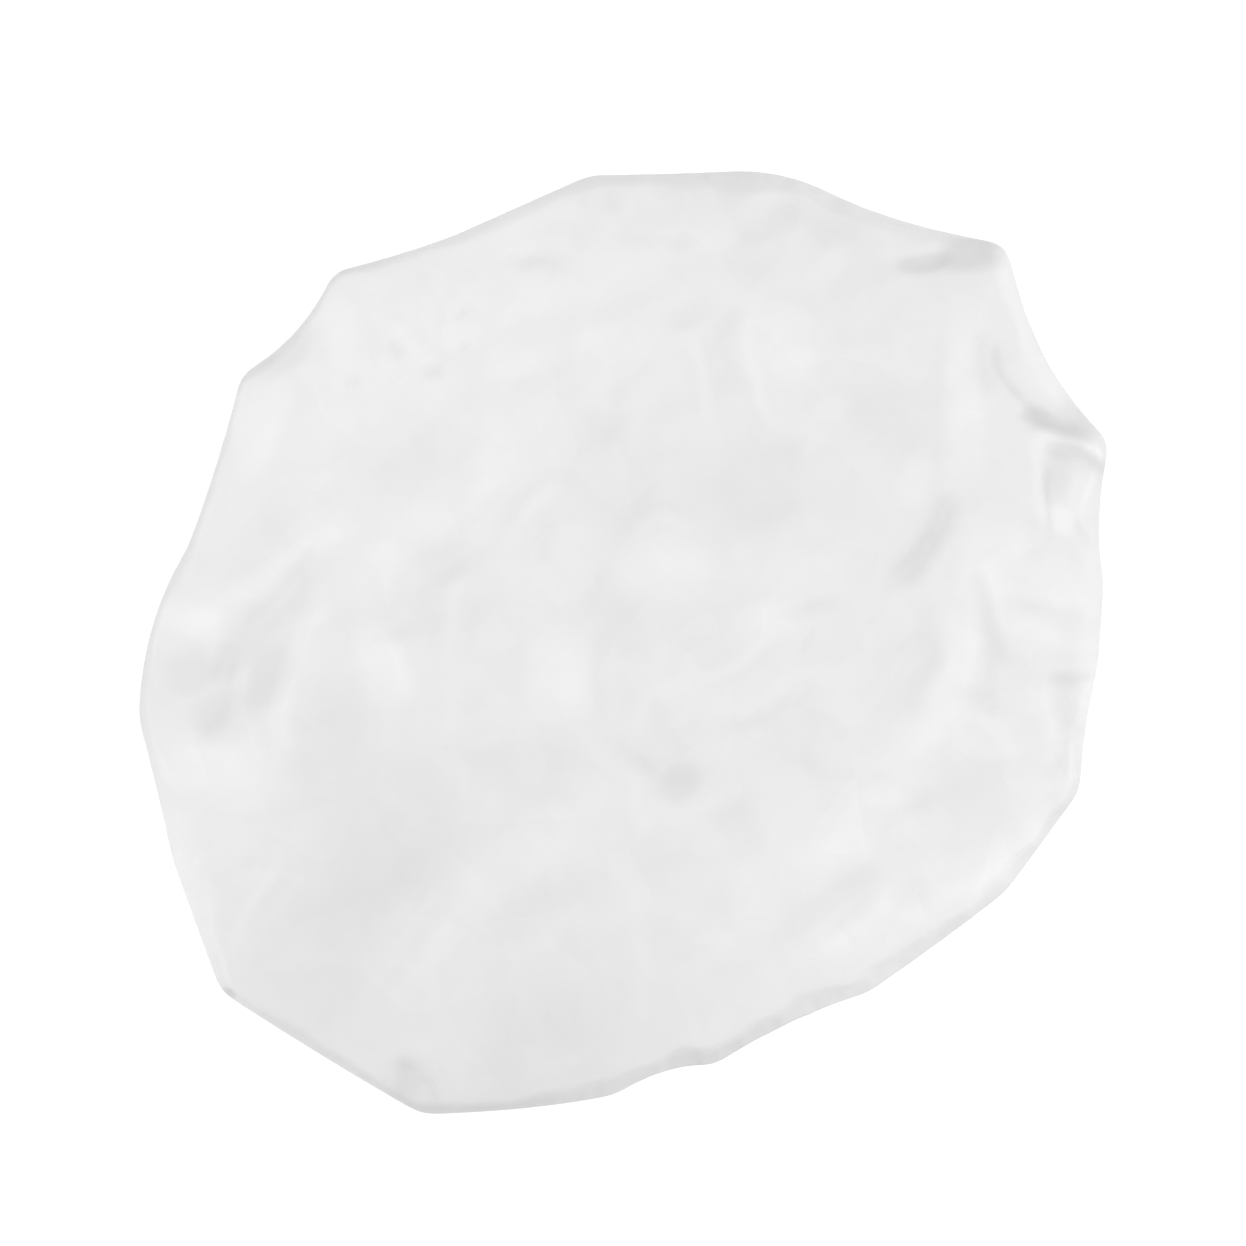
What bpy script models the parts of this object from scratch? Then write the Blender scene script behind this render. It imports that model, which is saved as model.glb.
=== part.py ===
"""A soft plastic shower cap lying crown up on a table, with its opening down.

The cap is one round sheet of soft film, gathered at its edge on an elastic hem. Laid down, the film
folds over at the rim: a crumpled crown panel lies on top, and pleats run back under it to the hem.
Metres, +Z up. The origin is on the table, under the middle of the outline seen from above.
"""

import math

import bmesh
import bpy
import numpy as np

MM = 0.001

# Driving sizes
CAP_RADIUS = 142.5 * MM  # mean radius of the outline seen from above
CROWN_HEIGHT = 34 * MM  # the middle of the crown panel over the table, before its folds
SHOULDER_HEIGHT = 20 * MM  # the crown panel over the table where the rim's bend begins
RIM_HEIGHT = 10 * MM  # the rim's widest line over the table
RIM_BEND = 8 * MM  # how far in from the outline the film bends over
UNDER_BEND = 8 * MM  # the same for its bend back underneath
UNDER_LIFT = 1.2 * MM  # the film under the rim over the table
FILM_WALL = 1.0 * MM
HEM_RADIUS = 74 * MM  # mean radius of the relaxed elastic hem
HEM_WIDTH = 8 * MM
HEM_THICKNESS = 2.4 * MM
HEM_BEVEL = 0.7 * MM
PLEAT_DEPTH = 3 * MM  # height of the gathers where they enter the hem
SEAT_GAP = 0.3 * MM  # between the film's edge and the hem
PLEATS = 30
STEPS_PER_PLEAT = 4
STEPS = PLEATS * STEPS_PER_PLEAT

# The rim's corners, anticlockwise from +X. Each is a pleat of the gathered edge that pushes the
# outline out. bow is how far the film up to the next corner bulges out, or hangs in if negative.
# reach and bow are shares of CAP_RADIUS, bend of RIM_BEND and lift of RIM_HEIGHT. wall is 0 where the
# film bends round evenly and 1 where it slopes straight down.
RIM_CORNERS = (
    # angle, reach, bow, bend, lift, wall
    (7, 1.022, -0.014, 1.1, 1.0, 0.0),
    (23, 1.106, -0.040, 0.8, 0.9, 0.0),
    (46, 1.160, -0.024, 0.8, 0.7, 0.1),
    (66, 1.040, 0.010, 0.6, 0.9, 0.2),
    (76, 1.018, -0.004, 0.8, 1.0, 0.3),
    (94, 0.983, 0.000, 0.5, 1.0, 0.2),
    (108, 0.940, -0.022, 0.5, 1.0, 0.2),
    (128, 0.990, -0.024, 0.4, 0.9, 0.1),
    (145, 0.983, -0.008, 0.4, 0.8, 0.1),
    (168, 0.936, 0.022, 0.4, 1.0, 0.1),
    (189, 1.033, -0.002, 0.6, 1.0, 0.1),
    (206, 1.052, 0.000, 1.5, 0.9, 0.0),
    (221, 1.122, -0.002, 0.6, 0.7, 0.3),
    (247, 1.088, 0.004, 0.5, 0.8, 0.5),
    (269, 0.956, -0.018, 0.6, 1.0, 0.7),
    (282, 0.912, -0.014, 0.8, 1.0, 0.9),
    (305, 0.901, 0.000, 0.7, 1.0, 1.0),
    (327, 0.958, 0.000, 0.5, 1.0, 0.9),
    (342, 1.012, -0.006, 0.5, 0.9, 0.6),
    (357, 1.000, 0.000, 1.1, 1.0, 0.0),
)
CORNER_ROUNDING = math.radians(2.2)
ROUNDING_SAMPLES = 7  # angles across a rounded corner whose radii are averaged
ROUNDING_FALL = 0.6  # how much less the outermost of them counts than the middle one

# Long folds of the crown panel. Each runs through three points, as shares of CAP_RADIUS from the
# middle. width is a share of CAP_RADIUS, and height 1 is a fold FOLD_STEEPNESS times as high as wide.
CREASES = (
    # name, from, through, to, width, height
    ("beak_groove", (0.82, 0.50), (0.92, 0.48), (1.04, 0.40), 0.030, -1.0),
    ("beak_lip", (0.86, 0.45), (0.93, 0.43), (1.03, 0.37), 0.024, 0.9),
    ("pocket_ridge", (0.87, 0.45), (0.86, 0.33), (0.87, 0.19), 0.024, 0.9),
    ("slant_valley", (0.72, 0.35), (0.64, 0.22), (0.54, 0.09), 0.032, -1.0),
    ("long_ridge", (0.68, 0.16), (0.69, -0.14), (0.52, -0.36), 0.036, 0.9),
    ("right_valley", (0.74, 0.14), (0.77, 0.01), (0.78, -0.14), 0.028, -0.9),
    ("side_valley", (0.91, -0.03), (0.95, -0.12), (0.92, -0.30), 0.030, -1.0),
    ("left_ridge", (-0.98, 0.02), (-0.76, 0.15), (-0.55, 0.26), 0.040, 0.7),
    ("left_streak", (-0.86, -0.07), (-0.72, 0.08), (-0.60, 0.21), 0.030, -1.0),
    ("left_line", (-0.59, 0.18), (-0.68, 0.03), (-0.71, -0.30), 0.026, 0.7),
    ("middle_valley", (-0.09, 0.52), (-0.06, 0.36), (0.06, 0.25), 0.055, -0.4),
    ("star_ridge", (0.00, -0.20), (0.06, -0.13), (0.20, -0.08), 0.028, 0.7),
    ("low_ridge", (-0.56, -0.86), (-0.36, -0.56), (0.05, -0.40), 0.064, 0.6),
    ("low_valley", (-0.30, -0.62), (-0.17, -0.56), (0.00, -0.50), 0.040, -0.4),
    ("edge_ridge", (0.30, -0.73), (0.72, -0.53), (0.93, -0.29), 0.036, 0.9),
    ("edge_valley", (0.28, -0.68), (0.42, -0.56), (0.54, -0.45), 0.040, -0.7),
    ("corner_groove", (-0.42, -0.86), (-0.44, -0.92), (-0.47, -1.00), 0.030, -1.0),
)

# Round swells and dents of the crown panel, with centre and size in shares of CAP_RADIUS. A dent of
# height 1 is DENT_SHARE times as deep as a fold that is as wide. turn is in degrees, from +X to the
# long way of the dent.
DENTS = (
    # name, centre, half length, half width, turn, height
    ("pocket_floor", (0.90, 0.35), 0.06, 0.04, 68, -1.0),
    ("pocket_swell", (0.91, 0.25), 0.04, 0.03, 0, 0.9),
    ("beak_swell", (0.71, 0.52), 0.17, 0.05, 90, 0.9),
    ("beak_back", (0.56, 0.46), 0.09, 0.08, 0, -0.6),
    ("corner_dent", (0.70, 0.81), 0.10, 0.04, -3, -1.0),
    ("left_dent", (-0.84, -0.09), 0.14, 0.08, 10, -0.9),
    ("left_pit", (-0.85, -0.13), 0.07, 0.04, 30, -1.0),
    ("left_pinch", (-0.73, -0.07), 0.08, 0.05, 82, -1.0),
    ("left_trough", (-0.61, -0.18), 0.15, 0.06, 78, -0.9),
    ("left_low_swell", (-0.84, -0.27), 0.12, 0.08, -20, 0.9),
    ("west_swell", (-0.51, -0.05), 0.08, 0.05, 118, 0.9),
    ("northwest_swell", (-0.75, 0.45), 0.12, 0.05, 72, 0.9),
    ("high_hollow", (-0.46, 0.39), 0.13, 0.10, 0, -0.6),
    ("dimple", (-0.37, 0.17), 0.07, 0.05, 0, -0.9),
    ("second_dimple", (-0.43, 0.06), 0.07, 0.05, 0, -0.9),
    ("centre_swell", (-0.14, -0.08), 0.09, 0.07, 80, 0.9),
    ("north_swell", (0.08, 0.14), 0.09, 0.07, -10, 0.7),
    ("east_back", (0.57, -0.06), 0.11, 0.06, 80, -0.8),
    ("middle_hollow", (0.29, 0.34), 0.12, 0.09, 0, -0.7),
    ("top_swell", (0.33, 0.62), 0.08, 0.07, 90, 0.9),
    ("top_hollow", (0.43, 0.88), 0.09, 0.05, -20, -0.9),
    ("ridge_swell", (0.61, 0.34), 0.06, 0.04, 75, 0.9),
    ("star_dent", (0.12, -0.28), 0.05, 0.04, 60, -1.0),
    ("east_hollow", (0.37, -0.17), 0.09, 0.08, 40, -0.8),
    ("right_swell", (0.77, 0.15), 0.08, 0.06, 80, 0.9),
    ("right_low_hollow", (0.73, -0.33), 0.11, 0.08, 40, -0.9),
    ("low_hollow", (-0.45, -0.42), 0.18, 0.11, 66, -0.6),
    ("corner_hollow", (-0.59, -0.62), 0.19, 0.13, 55, -0.8),
    ("bottom_hollow", (-0.15, -0.85), 0.15, 0.11, 0, -0.9),
)
FOLD_STEEPNESS = 0.8
DENT_SHARE = 0.3

CROWN_RINGS = 15  # rings of the crown panel, out to the rim's bend
LAST_RING_GAP = 0.5  # from the last of them to the bend, as a share of their spacing
RING_SPANS = (8, 4, 2, 1)  # how many of the rim's steps one step of a ring may span
SPAN_LIMIT = 1.15  # the most that a ring's span times its share of the way out may be
BEND_SPANS = 3  # from the crown panel's edge out to the rim's widest line
LOWER_BEND_ANGLES = (-45, -90)
PLEAT_RINGS = (0.35, 0.7, 1.0)  # shares of the way from the lower bend in to the hem
PLEAT_START = 0.3  # share of the pleats' height that is left under the rim
PLEAT_SWING = 0.2  # share of the pleats' height by which they differ, either way
PLEAT_TURN = 2.4  # radians from one pleat to the next in the wave of those differences
HEM_OVAL = 0.05  # share of the hem's radius by which it is longer one way and shorter the other
HEM_OVAL_ANGLE = math.radians(40)
CREASE_SAMPLES = 9  # points along a crease, between which it is straight
CREASE_FADE = 0.3  # share of a crease over which each end fades out
FILM_COLOUR = (0.86, 0.87, 0.87, 1.0)
HEM_COLOUR = (0.84, 0.85, 0.85, 1.0)
FILM_ROUGHNESS = 0.42


def corner_span(angle):
    """The corners before and after each angle, and the share of the way between them."""
    corner = np.radians([row[0] for row in RIM_CORNERS])
    angle = np.mod(angle, math.tau)
    before = (np.searchsorted(corner, angle, side="right") - 1) % len(corner)
    after = (before + 1) % len(corner)
    span = np.mod(corner[after] - corner[before], math.tau)
    share = np.mod(angle - corner[before], math.tau) / span
    return before, after, span, share


def chord_radius(angle):
    """The outline's radius on chords between the corners, bowed out or in."""
    before, after, span, share = corner_span(angle)
    reach = np.array([row[1] for row in RIM_CORNERS])
    bow = np.array([row[2] for row in RIM_CORNERS])[before]
    start, end = reach[before], reach[after]
    chord = start * end * np.sin(span) / (start * np.sin(share * span) + end * np.sin((1 - share) * span))
    return CAP_RADIUS * (chord + bow * 4 * share * (1 - share))


def outline_radius(angle):
    """The outline with its corners rounded, as a weighted mean over a small angle."""
    steps = np.linspace(-1, 1, ROUNDING_SAMPLES)
    weights = 1 - ROUNDING_FALL * np.abs(steps)
    total = sum(w * chord_radius(angle + s * CORNER_ROUNDING) for w, s in zip(weights, steps))
    return total / weights.sum()


def rim_value(angle, column):
    """A column of RIM_CORNERS at any angle, eased from corner to corner."""
    before, after, _, share = corner_span(angle)
    value = np.array([row[column] for row in RIM_CORNERS])
    return value[before] + (value[after] - value[before]) * ease(share)


def ease(share):
    share = np.clip(share, 0, 1)
    return share * share * (3 - 2 * share)


def crease_height(x, y, start, through, end, width, height):
    """A fold with a rounded crest along a parabola through three points."""
    a, b, c = (np.array(p) for p in (start, through, end))
    t = np.linspace(0, 1, CREASE_SAMPLES)[:, None]
    path = a * (1 - t) * (1 - 2 * t) + b * 4 * t * (1 - t) + c * t * (2 * t - 1)
    nearest = np.full(np.shape(x), np.inf)
    share = np.zeros(np.shape(x))
    for i, (p, q) in enumerate(zip(path[:-1], path[1:])):
        step = q - p
        along = np.clip(((x - p[0]) * step[0] + (y - p[1]) * step[1]) / (step @ step), 0, 1)
        distance = np.hypot(x - p[0] - step[0] * along, y - p[1] - step[1] * along)
        share = np.where(distance < nearest, (i + along) / (CREASE_SAMPLES - 1), share)
        nearest = np.minimum(nearest, distance)
    fade = ease(np.minimum(share, 1 - share) / CREASE_FADE)
    return height * width * fade * np.exp(-((nearest / width) ** 2) / 2)


def dent_height(x, y, centre, half_length, half_width, turn, height):
    """A smooth oval swell, or a dent if height is negative."""
    c, s = math.cos(math.radians(turn)), math.sin(math.radians(turn))
    u = ((x - centre[0]) * c + (y - centre[1]) * s) / half_length
    v = ((y - centre[1]) * c - (x - centre[0]) * s) / half_width
    return height * DENT_SHARE * min(half_length, half_width) * np.exp(-(u * u + v * v))


def crown_folds(x, y):
    """Height that the folds and dents add to the crown panel at a point in metres."""
    x, y = x / CAP_RADIUS, y / CAP_RADIUS
    creases = sum(crease_height(x, y, *row[1:]) for row in CREASES)
    dents = sum(dent_height(x, y, *row[1:]) for row in DENTS)
    return CAP_RADIUS * FOLD_STEEPNESS * (creases + dents)


def crown_point(angle, across, slant):
    """A point of the crown panel's outer face.

    across is the share of the way from the middle out to the rim's bend, and slant the share of the
    way from there over the bend to the rim's widest line.
    """
    rim = outline_radius(angle)
    rim_height = RIM_HEIGHT * rim_value(angle, 4)
    bend = RIM_BEND * rim_value(angle, 3)
    wall = rim_value(angle, 5)
    turn = (math.pi / 2) * (1 - slant)
    outward = (1 - wall) * math.cos(turn) + wall * slant
    rise = (1 - wall) * math.sin(turn) + wall * (1 - slant)
    radius = across * (rim - bend) + bend * outward
    x, y = radius * np.cos(angle), radius * np.sin(angle)
    dome = (CROWN_HEIGHT - SHOULDER_HEIGHT) * (1 - (radius / rim) ** 2)
    height = SHOULDER_HEIGHT + dome + crown_folds(x, y)
    return x, y, rim_height + (height - rim_height) * rise


def ring_points(angle, radius, height):
    return np.column_stack([radius * np.cos(angle), radius * np.sin(angle), height])


def step_angles():
    """Evenly spaced steps round the cap, with the nearest one moved onto each corner."""
    angles = np.arange(STEPS) * math.tau / STEPS
    for row in RIM_CORNERS:
        corner = math.radians(row[0])
        angles[round(corner * STEPS / math.tau) % STEPS] = corner
    return angles


def pleat_wave():
    """Each step's share of the pleats' height: two steps on the table, then two raised."""
    step = np.arange(STEPS)
    pleat = step // STEPS_PER_PLEAT
    raised = step % STEPS_PER_PLEAT >= STEPS_PER_PLEAT // 2
    return raised * (1 - PLEAT_SWING + PLEAT_SWING * np.sin(PLEAT_TURN * pleat))


def hem_radius(angle):
    """The hem's middle line, drawn a little oval by the longer way of the outline."""
    return HEM_RADIUS * (1 + HEM_OVAL * np.cos(2 * (angle - HEM_OVAL_ANGLE)))


def crown_rings(angles):
    """The rings of the film's outer face, from the crown's middle out and back under to the hem."""
    rim = outline_radius(angles)
    rings = []
    for share in np.arange(1, CROWN_RINGS + 1) / (CROWN_RINGS + LAST_RING_GAP):
        span = next(span for span in RING_SPANS if span * share <= SPAN_LIMIT)
        rings.append(np.column_stack(crown_point(angles, share, 0))[::span])
    for slant in np.arange(BEND_SPANS + 1) / BEND_SPANS:
        rings.append(np.column_stack(crown_point(angles, 1, slant)))
    rim_height = RIM_HEIGHT * rim_value(angles, 4)
    wave = PLEAT_DEPTH * pleat_wave()
    for degrees in LOWER_BEND_ANGLES:
        turn = math.radians(degrees)
        radius = rim - UNDER_BEND * (1 - math.cos(turn))
        height = rim_height + (rim_height - UNDER_LIFT) * math.sin(turn)
        rings.append(ring_points(angles, radius, height - PLEAT_START * math.sin(turn) * wave))
    start = rim - UNDER_BEND
    end = hem_radius(angles) + HEM_WIDTH / 2 + SEAT_GAP
    film_seat = (HEM_THICKNESS - FILM_WALL) / 2
    for share in PLEAT_RINGS:
        radius = start + (end - start) * share
        flat = UNDER_LIFT + (film_seat - UNDER_LIFT) * share
        grown = PLEAT_START + (1 - PLEAT_START) * share
        rings.append(ring_points(angles, radius, flat + grown * wave))
    return rings


def join_rings(mesh, inner, outer):
    """Faces between two rings of vertices, of which the outer may have twice as many."""
    count = len(inner)
    for i in range(count):
        j = (i + 1) % count
        if len(outer) == count:
            mesh.faces.new((inner[i], outer[i], outer[j], inner[j]))
        else:
            middle = outer[2 * i + 1]
            mesh.faces.new((inner[i], outer[2 * i], middle))
            mesh.faces.new((inner[i], middle, inner[j]))
            mesh.faces.new((inner[j], middle, outer[2 * j % len(outer)]))


def add_object(name, mesh, colour, shift):
    """Turns a bmesh into a smooth-shaded object of its own colour, moved over the origin."""
    bmesh.ops.translate(mesh, verts=mesh.verts, vec=shift)
    bmesh.ops.recalc_face_normals(mesh, faces=mesh.faces)
    data = bpy.data.meshes.new(name)
    mesh.to_mesh(data)
    mesh.free()
    data.shade_smooth()
    material = bpy.data.materials.new(name)
    material.use_nodes = True
    shader = material.node_tree.nodes["Principled BSDF"]
    shader.inputs["Base Color"].default_value = colour
    shader.inputs["Roughness"].default_value = FILM_ROUGHNESS
    shader.inputs["Metallic"].default_value = 0.0
    data.materials.append(material)
    obj = bpy.data.objects.new(name, data)
    bpy.context.scene.collection.objects.link(obj)
    return obj


def make_crown(angles, shift):
    """The film: a sheet through the rings, thickened inwards by its wall."""
    mesh = bmesh.new()
    rings = [[mesh.verts.new(point) for point in ring] for ring in crown_rings(angles)]
    middle = mesh.verts.new([float(v) for v in crown_point(0.0, 0, 0)])
    first = rings[0]
    for i, vertex in enumerate(first):
        mesh.faces.new((middle, vertex, first[(i + 1) % len(first)]))
    for inner, outer in zip(rings, rings[1:]):
        join_rings(mesh, inner, outer)
    obj = add_object("crown", mesh, FILM_COLOUR, shift)
    wall = obj.modifiers.new("wall", "SOLIDIFY")
    wall.thickness = FILM_WALL
    wall.offset = -1
    wall.use_even_offset = True
    return obj


def make_hem(angles, shift):
    """The elastic hem: a flat band round the opening that rises and falls with the pleats."""
    half, top = HEM_WIDTH / 2, HEM_THICKNESS
    section = (
        (-half, HEM_BEVEL),
        (-half + HEM_BEVEL, 0),
        (half - HEM_BEVEL, 0),
        (half, HEM_BEVEL),
        (half, top - HEM_BEVEL),
        (half - HEM_BEVEL, top),
        (-half + HEM_BEVEL, top),
        (-half, top - HEM_BEVEL),
    )
    mesh = bmesh.new()
    radius = hem_radius(angles)
    lift = PLEAT_DEPTH * pleat_wave()
    rings = []
    for across, up in section:
        points = ring_points(angles, radius + across, lift + up)
        rings.append([mesh.verts.new(point) for point in points])
    for inner, outer in zip(rings, rings[1:] + rings[:1]):
        join_rings(mesh, inner, outer)
    return add_object("elastic_hem", mesh, HEM_COLOUR, shift)


def clear_scene():
    for obj in list(bpy.data.objects):
        bpy.data.objects.remove(obj)


def build():
    clear_scene()
    angles = step_angles()
    rim = outline_radius(angles)
    x, y = rim * np.cos(angles), rim * np.sin(angles)
    shift = (-(x.max() + x.min()) / 2, -(y.max() + y.min()) / 2, 0)
    make_crown(angles, shift)
    make_hem(angles, shift)


build()
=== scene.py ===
"""The shower cap's looks: soft white film, crumpled over the crown and gathered underneath on its hem.

Metres, +Z up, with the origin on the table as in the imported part. The camera looks straight down,
with the photograph's top edge towards +Y.
"""

import math

import bpy
import numpy as np
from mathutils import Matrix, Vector

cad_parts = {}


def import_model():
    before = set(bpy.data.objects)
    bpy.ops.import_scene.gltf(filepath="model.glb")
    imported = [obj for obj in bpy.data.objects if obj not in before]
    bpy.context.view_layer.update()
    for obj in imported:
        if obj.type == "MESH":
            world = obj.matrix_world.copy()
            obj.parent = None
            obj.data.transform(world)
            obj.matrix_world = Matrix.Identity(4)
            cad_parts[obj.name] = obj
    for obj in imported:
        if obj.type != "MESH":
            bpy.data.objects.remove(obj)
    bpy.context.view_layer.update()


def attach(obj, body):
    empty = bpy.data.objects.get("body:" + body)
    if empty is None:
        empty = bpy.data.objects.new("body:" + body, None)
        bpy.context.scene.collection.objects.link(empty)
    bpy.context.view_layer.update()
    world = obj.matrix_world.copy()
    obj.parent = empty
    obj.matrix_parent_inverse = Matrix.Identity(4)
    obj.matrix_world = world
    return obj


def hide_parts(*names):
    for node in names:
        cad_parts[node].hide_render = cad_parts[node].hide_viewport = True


MM = 0.001

# Driving sizes, the part's own
CAP_RADIUS = 142.5 * MM  # mean radius of the outline seen from above
CROWN_HEIGHT = 34 * MM  # the middle of the crown panel over the table, before its folds
SHOULDER_HEIGHT = 20 * MM  # the crown panel over the table where the rim's bend begins
RIM_HEIGHT = 10 * MM  # the rim's widest line over the table
RIM_BEND = 8 * MM  # how far in from the outline the film bends over
UNDER_BEND = 8 * MM  # the same for its bend back underneath
UNDER_LIFT = 1.2 * MM  # the film under the rim over the table
HEM_RADIUS = 74 * MM  # mean radius of the relaxed elastic hem
HEM_WIDTH = 8 * MM
HEM_THICKNESS = 2.4 * MM
PLEAT_DEPTH = 3 * MM  # height of the gathers where they enter the hem

# The film as it is seen
FILM_THICKNESS = 0.35 * MM

# The grid of the film's points
CROWN_GRID = 216  # squares across the crown's grid
ROUND_STEPS = 4 * CROWN_GRID  # steps round the outline, as many as the grid's edge has
UNDER_RINGS = 48
PANEL_SHARE = 0.84  # of the grid's rings from the middle out, up to the rim's bend
UPPER_SHARE = 0.94  # and up to the widest line
RING_CROWDING = 0.16  # rings lie closer near the rim by this share
STEP_CROWDING = 0.12  # and steps lie closer round the beak and the left dent
BEAK_ANGLE = math.radians(15)
TINY = 1e-9  # stands in for 0 where the grid's middle would divide by it

# The rim's corners, anticlockwise from +X. reach and bow are shares of CAP_RADIUS, bend of RIM_BEND
# and lift of RIM_HEIGHT. wall is 0 for a round bend and 1 for a flat slant. shade is the painted
# shade on the rim's bend there, painted light where it is above 0.
ANGLE, REACH, BOW, BEND, LIFT, WALL, SHADE = range(7)  # the table's columns
RIM_CORNERS = (
    # angle, reach, bow, bend, lift, wall, shade
    (7, 1.019, -0.016, 1.1, 1.0, 0.0, -0.6),
    (22.3, 1.106, -0.038, 0.8, 0.9, 0.0, -0.9),
    (46, 1.162, -0.016, 0.8, 0.7, 0.1, 0.3),
    (66, 1.040, 0.010, 0.6, 0.9, 0.2, 0.0),
    (76, 1.020, -0.002, 0.8, 1.0, 0.3, -0.5),
    (94, 0.983, 0.000, 0.5, 1.0, 0.2, -0.6),
    (112.5, 0.924, -0.004, 0.4, 1.0, 0.2, -0.4),
    (128, 0.986, -0.024, 0.36, 0.9, 0.1, -1.2),
    (145, 0.979, -0.006, 0.42, 0.8, 0.1, -1.5),
    (168, 0.936, 0.026, 0.45, 1.0, 0.1, -2.0),
    (189, 1.030, -0.002, 0.55, 1.0, 0.1, -1.6),
    (206, 1.052, 0.000, 1.5, 0.9, 0.0, 0.1),
    (221, 1.122, 0.004, 0.6, 0.7, 0.3, -1.4),
    (247, 1.081, 0.009, 0.5, 0.8, 0.5, -2.2),
    (269, 0.954, -0.018, 0.6, 1.0, 0.7, -0.3),
    (282, 0.912, -0.012, 0.75, 1.0, 0.9, -1.8),
    (305, 0.901, 0.003, 0.7, 1.0, 1.0, 0.0),
    (327, 0.963, 0.000, 0.6, 1.0, 0.9, -1.0),
    (342, 1.012, -0.007, 0.5, 0.9, 0.6, -1.6),
    (357, 1.000, 0.000, 1.1, 1.0, 0.0, -0.1),
)
CORNER_ROUNDING = math.radians(1.7)  # how far to each side of a point the outline is averaged
ROUNDING_SAMPLES = 7
ROUNDING_FALL = 0.6  # by how much less the farthest sample counts
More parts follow.
